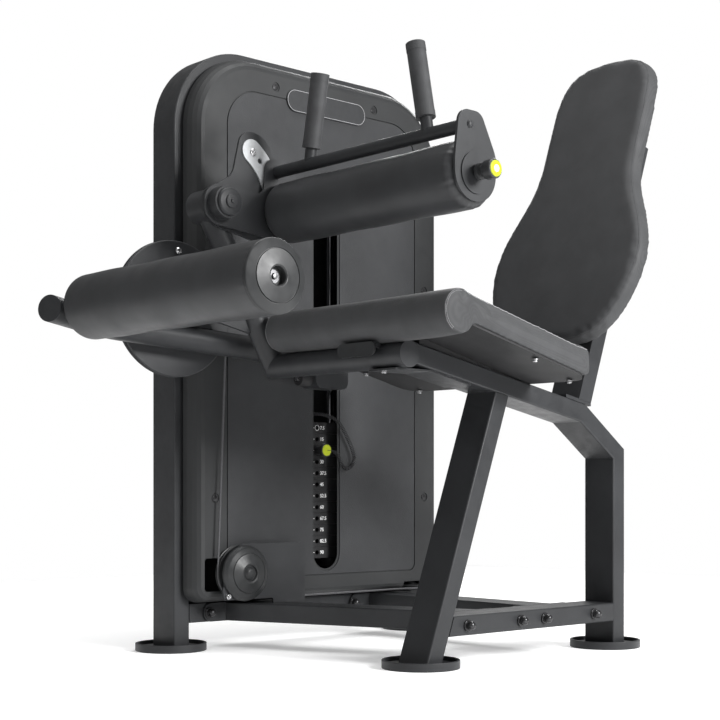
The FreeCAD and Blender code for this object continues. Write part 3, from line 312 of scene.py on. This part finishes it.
def black_rubber():
    shade = Shade("black_rubber", (0.02, 0.02, 0.021), 0.62)
    shade.bump(shade.cells(500), 0.4, 0.0005)
    shade.tint(shade.noise(40, 4), 0.8, 1.3)
    return shade.material


def grip_rubber():
    """Soft grips with a fine knurled look."""
    shade = Shade("grip_rubber", (0.045, 0.046, 0.048), 0.6)
    shade.bump(shade.cells(420), 0.5, 0.0006)
    shade.tint(shade.noise(30, 4), 0.85, 1.2)
    return shade.material


def lime_plastic():
    shade = Shade("lime_plastic", (0.44, 0.52, 0.02), 0.34)
    shade.tint(shade.noise(50, 3), 0.92, 1.05)
    shade.roughen(shade.noise(90, 3), 0.24, 0.36)
    return shade.material


def steel_rope():
    shade = Shade("steel_rope", (0.10, 0.10, 0.105), 0.4, 0.5)
    shade.bump(shade.waves(330, "DIAGONAL"), 0.6, 0.0006)
    shade.tint(shade.waves(330, "DIAGONAL"), 0.7, 1.4)
    return shade.material


def cord_black():
    shade = Shade("cord_black", (0.022, 0.022, 0.024), 0.4)
    shade.tint(shade.noise(60, 3), 0.85, 1.2)
    shade.bump(shade.noise(900, 2), 0.1, 0.0002)
    return shade.material


def board_black():
    shade = Shade("board_black", (0.02, 0.02, 0.021), 0.6)
    shade.bump(shade.noise(400, 4), 0.3, 0.0005)
    shade.tint(shade.noise(25, 5), 0.8, 1.3)
    return shade.material


def label_white():
    shade = Shade("label_white", (0.85, 0.85, 0.85), 0.5)
    shade.tint(shade.noise(200, 3), 0.94, 1.02)
    return shade.material


def thread_grey():
    shade = Shade("thread_grey", (0.30, 0.30, 0.31), 0.7)
    shade.tint(shade.noise(500, 3), 0.8, 1.15)
    shade.bump(shade.noise(2500, 2), 0.3, 0.0002)
    return shade.material


MATERIALS = {
    "frame_paint": powder_coat(), "shroud_shell": shell_plastic(), "panel_face": panel_plastic(),
    "badge_face": badge_plastic(), "upholstery": upholstery(), "roller_vinyl": roller_vinyl(),
    "cap_plastic": cap_plastic(), "bright_steel": bright_steel(), "rod_chrome": chrome(),
    "plate_iron": plate_paint(), "index_white": index_silver(), "rubber_black": black_rubber(),
    "lime_plastic": lime_plastic(), "cable_steel": steel_rope(), "cord_black": cord_black(),
    "board_black": board_black(), "grip": grip_rubber(), "label": label_white(), "thread": thread_grey(),
    "dark_steel": dark_steel(), "outline": print_and_highlight_grey(), "dull_steel": dull_steel(),
}
SPECIAL = {"hand_grips": "grip", "ankle_shaft": "dull_steel"}
SLOT_OF = {entry["node"]: entry["material_slot"] for entry in frame["record"]["subparts"]}


def dress_nodes():
    for name, piece in nodes.items():
        material = MATERIALS[SPECIAL.get(name, SLOT_OF[name])]
        if not piece.material_slots:
            piece.data.materials.append(material)
        for place in piece.material_slots:
            place.material = material
        piece.data.shade_smooth()
        piece.data.set_sharp_from_angle(angle=math.radians(28))


# ---------------------------------------------------------------- helpers for new pieces
def finish_piece(name, mesh, material, body, replaced=()):
    piece = bpy.data.objects.new(name, mesh)
    scene.collection.objects.link(piece)
    mesh.materials.clear()
    mesh.materials.append(MATERIALS[material])
    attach(piece, body)
    if replaced:
        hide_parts(*replaced)
    return piece


def mesh_points(mesh):
    points = np.empty(len(mesh.vertices) * 3)
    mesh.vertices.foreach_get("co", points)
    return points.reshape(-1, 3)


def mesh_normals(mesh):
    normals = np.empty(len(mesh.vertices) * 3)
    mesh.vertices.foreach_get("normal", normals)
    return normals.reshape(-1, 3)


def set_points(mesh, points):
    mesh.vertices.foreach_set("co", points.reshape(-1))
    mesh.update()


def evaluated(piece):
    bpy.context.view_layer.update()
    graph = bpy.context.evaluated_depsgraph_get()
    return bpy.data.meshes.new_from_object(piece.evaluated_get(graph))


def lathe_mesh(name, outline, segments=128):
    """Turned mesh about the Y axis through the origin: outline is (radius, y), closed at radius 0."""
    verts = []
    faces = []
    rings = []
    for radius, along in outline:
        if radius < 1e-6:
            rings.append([len(verts)])
            verts.append((0, along, 0))
            continue
        ring = []
        for step in range(segments):
            angle = 2 * math.pi * step / segments
            ring.append(len(verts))
            verts.append((radius * math.cos(angle), along, radius * math.sin(angle)))
        rings.append(ring)
    for first, second in zip(rings, rings[1:]):
        for step in range(segments):
            after = (step + 1) % segments
            if len(first) == 1:
                faces.append((first[0], second[step], second[after]))
            elif len(second) == 1:
                faces.append((first[step], second[0], first[after]))
            else:
                faces.append((first[step], second[step], second[after], first[after]))
    mesh = bpy.data.meshes.new(name)
    mesh.from_pydata(verts, [], faces)
    mesh.validate()
    make_outward(mesh)
    mesh.shade_smooth()
    return mesh


def make_outward(mesh):
    work = bmesh.new()
    work.from_mesh(mesh)
    bmesh.ops.recalc_face_normals(work, faces=work.faces)
    work.to_mesh(mesh)
    work.free()


def tube_mesh(name, points, radius, sides=10, closed=False):
    """Tube along close points, with a ring square to the path at each."""
    points = [Vector(point) for point in points]
    verts = []
    faces = []
    count = len(points)
    up = Vector((0.13, 0.31, 0.94)).normalized()
    for index, point in enumerate(points):
        before = points[index - 1] if index or closed else point
        after = points[(index + 1) % count] if index + 1 < count or closed else point
        along = (after - before).normalized()
        side = (up - along * up.dot(along)).normalized()
        up = side
        across = along.cross(side)
        for step in range(sides):
            angle = 2 * math.pi * step / sides
            verts.append(point + side * (radius * math.cos(angle)) + across * (radius * math.sin(angle)))
    last = count if closed else count - 1
    for index in range(last):
        onward = (index + 1) % count
        for step in range(sides):
            after = (step + 1) % sides
            faces.append((index * sides + step, index * sides + after,
                          onward * sides + after, onward * sides + step))
    if not closed:
        faces.append(tuple(range(sides - 1, -1, -1)))
        faces.append(tuple((count - 1) * sides + step for step in range(sides)))
    mesh = bpy.data.meshes.new(name)
    mesh.from_pydata(verts, [], faces)
    mesh.validate()
    mesh.shade_smooth()
    return mesh


def join_meshes(name, meshes):
    work = bmesh.new()
    for mesh in meshes:
        work.from_mesh(mesh)
    joined = bpy.data.meshes.new(name)
    work.to_mesh(joined)
    work.free()
    joined.shade_smooth()
    return joined


# ---------------------------------------------------------------- cushions
def puff(name, source, voxel, shrink, pressure, cap, held, soften=4):
    """Inflates a copy of a CAD cushion with the cloth solver. held(points) says which points stay put."""
    mesh = source.copy()
    piece = bpy.data.objects.new(name + "_blank", mesh)
    scene.collection.objects.link(piece)
    remesh = piece.modifiers.new("Remesh", "REMESH")
    remesh.mode = "VOXEL"
    remesh.voxel_size = voxel
    ease = piece.modifiers.new("Ease", "SMOOTH")
    ease.iterations = soften
    ease.factor = 0.5
    soft = evaluated(piece)
    bpy.data.objects.remove(piece)
    points = mesh_points(soft)
    fixed = held(points)
    points = points - mesh_normals(soft) * shrink * (~fixed)[:, None]
    set_points(soft, points)
    piece = bpy.data.objects.new(name + "_cloth", soft)
    scene.collection.objects.link(piece)
    group = piece.vertex_groups.new(name="held")
    group.add([int(index) for index in np.nonzero(fixed)[0]], 1.0, "REPLACE")
    cloth = piece.modifiers.new("Cloth", "CLOTH")
    settings = cloth.settings
    settings.use_pressure = True
    settings.uniform_pressure_force = pressure
    settings.effector_weights.gravity = 0
    settings.vertex_group_mass = "held"
    settings.quality = 4
    settings.tension_stiffness = 25
    settings.compression_stiffness = 25
    settings.bending_stiffness = 2
    for step in range(1, 21):
        scene.frame_set(step)
    blown = evaluated(piece)
    move = mesh_points(blown) - points
    length = np.linalg.norm(move, axis=1)
    move *= np.minimum(1, cap / np.maximum(length, 1e-9))[:, None]
    bpy.data.meshes.remove(blown)
    bpy.data.objects.remove(piece)
    scene.frame_set(1)
    set_points(soft, points + move)
    return soft


def smooth_mesh(mesh, rounds, factor=0.5, subdivide=0):
    piece = bpy.data.objects.new("work", mesh)
    scene.collection.objects.link(piece)
    ease = piece.modifiers.new("Ease", "SMOOTH")
    ease.iterations = rounds
    ease.factor = factor
    if subdivide:
        finer = piece.modifiers.new("Finer", "SUBSURF")
        finer.levels = subdivide
    done = evaluated(piece)
    bpy.data.objects.remove(piece)
    done.shade_smooth()
    return done


def dent_along(mesh, route, width, depth):
    """Presses a seam into the mesh: points near the route sink along their normals."""
    points = mesh_points(mesh)
    normals = mesh_normals(mesh)
    route = np.array(route)
    nearest = np.full(len(points), 9.0)
    for start in range(0, len(route), 64):
        part = route[start:start + 64]
        gap = np.linalg.norm(points[:, None, :] - part[None, :, :], axis=2).min(axis=1)
        nearest = np.minimum(nearest, gap)
    sink = depth * np.exp(-(nearest / width) ** 2)
    set_points(mesh, points - normals * sink[:, None])


def smooth_loop(points, share=20, closed=True):
    """Close points on a smooth curve through the given ones."""
    spots = [Vector(point) for point in points]
    count = len(spots)
    line = []
    for index in range(count if closed else count - 1):
        if closed:
            before, start, end, after = (spots[(index + step) % count] for step in (-1, 0, 1, 2))
        else:
            before = spots[max(index - 1, 0)]
            start, end = spots[index], spots[index + 1]
            after = spots[min(index + 2, count - 1)]
        for step in range(share):
            here = step / share
            line.append(0.5 * (2 * start + (end - before) * here
                               + (2 * before - 5 * start + 4 * end - after) * here ** 2
                               + (3 * start - before - 3 * end + after) * here ** 3))
    return line


def onto_surface(mesh, line, lift):
    tree = BVHTree.FromPolygons([vertex.co for vertex in mesh.vertices],
                                [tuple(face.vertices) for face in mesh.polygons])
    resting = []
    for point in line:
        spot, normal = tree.find_nearest(point)[:2]
        resting.append(spot + normal * lift)
    return resting


def even_points(line, gap):
    """The same line with points a fixed distance apart."""
    line = [Vector(point) for point in line]
    out = [line[0]]
    carried = 0.0
    for first, second in zip(line, line[1:]):
        run = (second - first).length
        reach = gap - carried
        while reach <= run and run > 0:
            out.append(first.lerp(second, reach / run))
            reach += gap
        carried = run - (reach - gap)
    return out


def stitch_mesh(name, mesh, line, stitch, gap, radius):
    """Short threads lying on the surface along a line."""
    points = onto_surface(mesh, even_points(line, stitch / 4), radius * 0.5)
    threads = []
    start = 0
    step = 4
    pause = max(1, round(gap / stitch * 4))
    while start + step < len(points):
        threads.append(tube_mesh(name, points[start:start + step + 1], radius, 6))
        start += step + pause
    return join_meshes(name, threads)


make_camera()
make_floor()
make_lights()
dress_nodes()

# ---------------------------------------------------------------- curly cord
ROUTE = ((0.144, 0.606, 0.5643), (0.156, 0.604, 0.580), (0.186, 0.592, 0.583), (0.220, 0.568, 0.581),
         (0.241, 0.546, 0.566), (0.263, 0.543, 0.538), (0.300, 0.543, 0.474), (0.292, 0.543, 0.452),
         (0.271, 0.543, 0.440), (0.251, 0.543, 0.450), (0.246, 0.545, 0.470), (0.243, 0.551, 0.483),
         (0.233, 0.5605, 0.489))
STRING = ((0.233, 0.5605, 0.489), (0.230, 0.5515, 0.4885), (0.224, 0.5505, 0.4882), (0.212, 0.5525, 0.4888))


def smooth_route():
    data = bpy.data.curves.new("route", "CURVE")
    data.dimensions = "3D"
    data.resolution_u = 40
    spline = data.splines.new("NURBS")
    spline.points.add(len(ROUTE) - 1)
    for place, spot in zip(spline.points, ROUTE):
        place.co = (*spot, 1)
    spline.order_u = 3
    spline.use_endpoint_u = True
    piece = bpy.data.objects.new("route", data)
    scene.collection.objects.link(piece)
    points = [vertex.co.copy() for vertex in evaluated(piece).vertices]
    bpy.data.objects.remove(piece)
    return points


def make_curly_cord():
    line = smooth_route()
    steps = [0.0]
    for first, second in zip(line, line[1:]):
        steps.append(steps[-1] + (second - first).length)
    total = steps[-1]
    turns = int(total / 0.0046)
    coil = 0.0042
    helix = []
    up = Vector((0, 1, 0))
    place = 0
    for index in range(turns * 14 + 1):
        share = index / (turns * 14)
        distance = share * total
        while place < len(line) - 2 and steps[place + 1] < distance:
            place += 1
        along = (line[place + 1] - line[place]).normalized()
        within = (distance - steps[place]) / (steps[place + 1] - steps[place])
        centre = line[place].lerp(line[place + 1], within)
        side = (up - along * up.dot(along)).normalized()
        across = along.cross(side)
        reach = coil * min(1, share * 40, (1 - share) * 40)
        angle = 2 * math.pi * turns * share
        helix.append(centre + side * (reach * math.cos(angle)) + across * (reach * math.sin(angle)))
    mesh = tube_mesh("curly_cord", helix, 0.00125, 8)
    piece = finish_piece("curly_cord", mesh, "cord_black", "stack", ("lanyard",))
    string = tube_mesh("cord_string", smooth_loop(STRING, 12, False), 0.0008, 8)
    finish_piece("cord_string", string, "cord_black", "stack")


make_curly_cord()


# ---------------------------------------------------------------- backrest cushion
LEAN = math.radians(19.4)
BACK_OUT = np.array((math.cos(LEAN), 0, -math.sin(LEAN)))
BACK_UP = np.array((math.sin(LEAN), 0, math.cos(LEAN)))
BACK_FOOT = np.array((0.535, 0.066, 0.876))


BACK_HALVES = ((-137, 72), (-123, 132), (-96, 169), (-50, 200), (0, 220), (50, 230), (92, 231), (130, 225),
               (186, 206), (226, 188), (266, 171), (305, 159), (350, 153), (420, 152), (500, 151), (550, 148),
               (588, 138), (615, 119), (636, 86), (645, 42))


def back_point(side, up, out):
    return Vector(BACK_FOOT + BACK_UP * up / 1000 + BACK_OUT * out / 1000 + np.array((0, side / 1000, 0)))


def back_loop(inset, out):
    right = [back_point(reach - inset, up, out) for up, reach in BACK_HALVES]
    left = [back_point(inset - reach, up, out) for up, reach in reversed(BACK_HALVES)]
    return smooth_loop(right + left)


def make_back_cushion():
    def held(points):
        return (points - BACK_FOOT) @ BACK_OUT > 0.034

    soft = puff("back", nodes["back_pad"].data, 0.005, 0.0015, 2.5, 0.004, held, 6)
    mesh = smooth_mesh(soft, 8, 0.5, 1)
    seam = onto_surface(mesh, back_loop(3, -4), 0)
    dent_along(mesh, seam, 0.003, 0.0008)
    piece = finish_piece("back_cushion", mesh, "upholstery", "back", ("back_pad",))
    cord = tube_mesh("back_seam", onto_surface(mesh, even_points(back_loop(3, -4), 0.004), -0.0002),
                     0.0009, 6, True)
    finish_piece("back_seam", cord, "upholstery", "back")


make_back_cushion()


# ---------------------------------------------------------------- seat cushion
ROLL = Vector((-0.108, 0, 0.751))
ROLL_RADIUS = 0.0475


def roll_arc(side, start, finish, inset=0.002):
    line = []
    for step in range(61):
        angle = math.radians(start + (finish - start) * step / 60)
        reach = ROLL_RADIUS - inset
        line.append(ROLL + Vector((reach * math.cos(angle), side, reach * math.sin(angle))))
    return line


def seat_top(side):
    """The seat's long top edge on one side."""
    return [Vector((-0.096 + 0.397 * step / 60, side, 0.7965 - 0.0975 * step / 60)) for step in range(61)]


def make_seat_cushion():
    low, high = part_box("seat_pad")

    def held(points):
        line = 0.729 - (points[:, 0] + 0.104) * 87 / 406
        return (points[:, 2] < line + 0.004) & (points[:, 0] > -0.06)

    soft = puff("seat", nodes["seat_pad"].data, 0.005, 0.0012, 2.5, 0.004, held, 4)
    mesh = smooth_mesh(soft, 5, 0.5, 1)
    for side in (low[1], high[1]):
        dent_along(mesh, onto_surface(mesh, roll_arc(side, 240, 80) + seat_top(side), 0), 0.002, 0.001)
    piece = finish_piece("seat_cushion", mesh, "upholstery", "frame", ("seat_pad",))
    rows = []
    for side in (low[1], high[1]):
        for inset in (0.0005, 0.0055):
            rows.append(stitch_mesh("seat_stitches", mesh, roll_arc(side, 240, 82, inset), 0.0042, 0.0012,
                                    0.0005))
    finish_piece("seat_stitches", join_meshes("seat_stitches", rows), "thread", "frame")
    # Thin pale grey line on the seat's near top edge: a painted highlight where the edge catches the light, not
    # a thread.
    edge = onto_surface(mesh, even_points(seat_top(low[1]), 0.004), 0.0001)
    finish_piece("seat_edge_highlight", tube_mesh("seat_edge_highlight", edge, 0.0005, 6), "outline", "frame")


make_seat_cushion()


# ---------------------------------------------------------------- rollers
def rounded_profile(radius, near, far, bore, near_round, far_round, steps=14):
    outline = [(bore, near)]
    for step in range(steps + 1):
        angle = math.pi / 2 * step / steps
        outline.append((radius - near_round + near_round * math.sin(angle),
                        near + near_round - near_round * math.cos(angle)))
    rows = 90
    for row in range(1, rows):
        share = row / rows
        outline.append((radius, near + near_round + (far - far_round - near - near_round) * share))
    for step in range(steps + 1):
        angle = math.pi / 2 * step / steps
        outline.append((radius - far_round + far_round * math.cos(angle),
                        far - far_round + far_round * math.sin(angle)))
    outline.append((bore, far))
    return outline


def centre_of(node):
    low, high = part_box(node)
    return (Vector(low) + Vector(high)) / 2


def make_roller(name, node, body, near_round, far_round, pucker):
    low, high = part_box(node)
    middle = centre_of(node)
    radius = (high[0] - low[0]) / 2
    mesh = lathe_mesh(name, rounded_profile(radius - 0.001, low[1], high[1], 0.0135, near_round, far_round), 160)
    points = mesh_points(mesh)
    angle = np.arctan2(points[:, 2], points[:, 0])
    reach = np.hypot(points[:, 0], points[:, 2])
    along = points[:, 1]
    near_gap = along - low[1]
    fade = np.exp(-(near_gap / 0.022) ** 2) * np.clip((reach - 0.02) / 0.04, 0, 1)
    folds = np.sin(angle * 17 + 0.7 * np.sin(angle * 5)) * 0.6 + np.sin(angle * 29 + 1.3) * 0.4
    swell = 0.0007 * np.sin(along * 31 + 0.4) + 0.0005 * np.sin(angle * 2 + along * 11)
    change = pucker * fade * folds + swell * np.clip((reach - 0.03) / 0.03, 0, 1)
    scale = (reach + change) / np.maximum(reach, 1e-6)
    points[:, 0] *= scale
    points[:, 2] *= scale
    points += np.array((middle.x, 0, middle.z))
    set_points(mesh, points)
    piece = finish_piece(name, mesh, "roller_vinyl", body, (node,))


make_roller("ankle_cushion", "ankle_roller", "ankle", 0.006, 0.028, 0.0004)
make_roller("thigh_cushion", "thigh_pad", "thigh", 0.020, 0.022, 0.0012)


# ---------------------------------------------------------------- marks on the plates and panel
STACK_MIDDLE = 0.212
PITCH = 0.0292


def flat_strip(corners):
    """Thin flat card facing the front, from its outline in X and Z."""
    count = len(corners)
    mesh = bpy.data.meshes.new("strip")
    front = [(x, -0.0004, z) for x, z in corners]
    back = [(x, 0, z) for x, z in corners]
    faces = [tuple(range(count)), tuple(range(2 * count - 1, count - 1, -1))]
    for index in range(count):
        after = (index + 1) % count
        faces.append((index, after, count + after, count + index))
    mesh.from_pydata(front + back, [], faces)
    make_outward(mesh)
    return mesh


def shifted(mesh, x, y, z):
    set_points(mesh, mesh_points(mesh) + np.array((x, y, z)))
    return mesh


def make_numbers():
    low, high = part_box("weights_parked")
    front = low[1]
    for count in range(12):
        height = low[2] + PITCH * (11 - count) + 0.0143
        body = "stack" if count < 3 else "frame"
        data = bpy.data.curves.new("number_%02d" % (count + 1), "FONT")
        data.body = ("%g" % (7.5 * (count + 1)))
        data.size = 0.0125
        data.align_x = "LEFT"
        data.align_y = "CENTER"
        data.extrude = 0.0001
        data.offset = 0.0002
        piece = bpy.data.objects.new("number_%02d" % (count + 1), data)
        scene.collection.objects.link(piece)
        piece.location = (0.222, front - 0.0003, height)
        piece.rotation_euler = (math.radians(90), 0, 0)
        data.materials.append(MATERIALS["label"])
        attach(piece, body)
        tick = flat_strip(((-0.007, -0.0006), (0.0, -0.0006), (0.0, 0.0006), (-0.007, 0.0006)))
        shifted(tick, STACK_MIDDLE - 0.009, front, height)
        finish_piece("tick_%02d" % (count + 1), tick, "label", body)


def make_hole_ring():
    """White ring painted round the top plate's hole."""
    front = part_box("weights_parked")[0][1]
    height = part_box("weights_parked")[0][2] + PITCH * 11 + 0.0143
    ring = tube_mesh("hole_ring", [(0.0067 * math.cos(angle), 0, 0.0067 * math.sin(angle))
                                   for angle in np.linspace(0, 2 * math.pi, 48, endpoint=False)],
                     0.0007, 8, True)
    finish_piece("hole_ring", shifted(ring, STACK_MIDDLE, front, height), "label", "stack")


def pill(half_long, half_high):
    """Outline of a long shape with round ends, in X and Z."""
    line = []
    for start in (-90, 90):
        for step in range(25):
            angle = math.radians(start + 180 * step / 24)
            side = half_long - half_high if start == -90 else half_high - half_long
            line.append((side + half_high * math.cos(angle), half_high * math.sin(angle)))
    return line


def make_badge_line():
    low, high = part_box("badge")
    middle = centre_of("badge")
    edge = pill((high[0] - low[0]) / 2 - 0.002, (high[2] - low[2]) / 2 - 0.002)
    line = tube_mesh("badge_line", [(x, 0, z) for x, z in edge], 0.0006, 6, True)
    finish_piece("badge_line", shifted(line, middle.x, low[1] - 0.0001, middle.z), "outline", "frame")


def make_knob_details():
    """Pale button in the release knob's lime face."""
    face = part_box("knob_face")
    middle = centre_of("knob_face")
    button = lathe_mesh("knob_button", ((0, -0.0012), (0.0066, -0.0012), (0.0078, 0), (0, 0.0004)), 48)
    finish_piece("knob_button", shifted(button, middle.x, face[0][1], middle.z), "label", "knob")


make_numbers()
make_hole_ring()
make_badge_line()
make_knob_details()
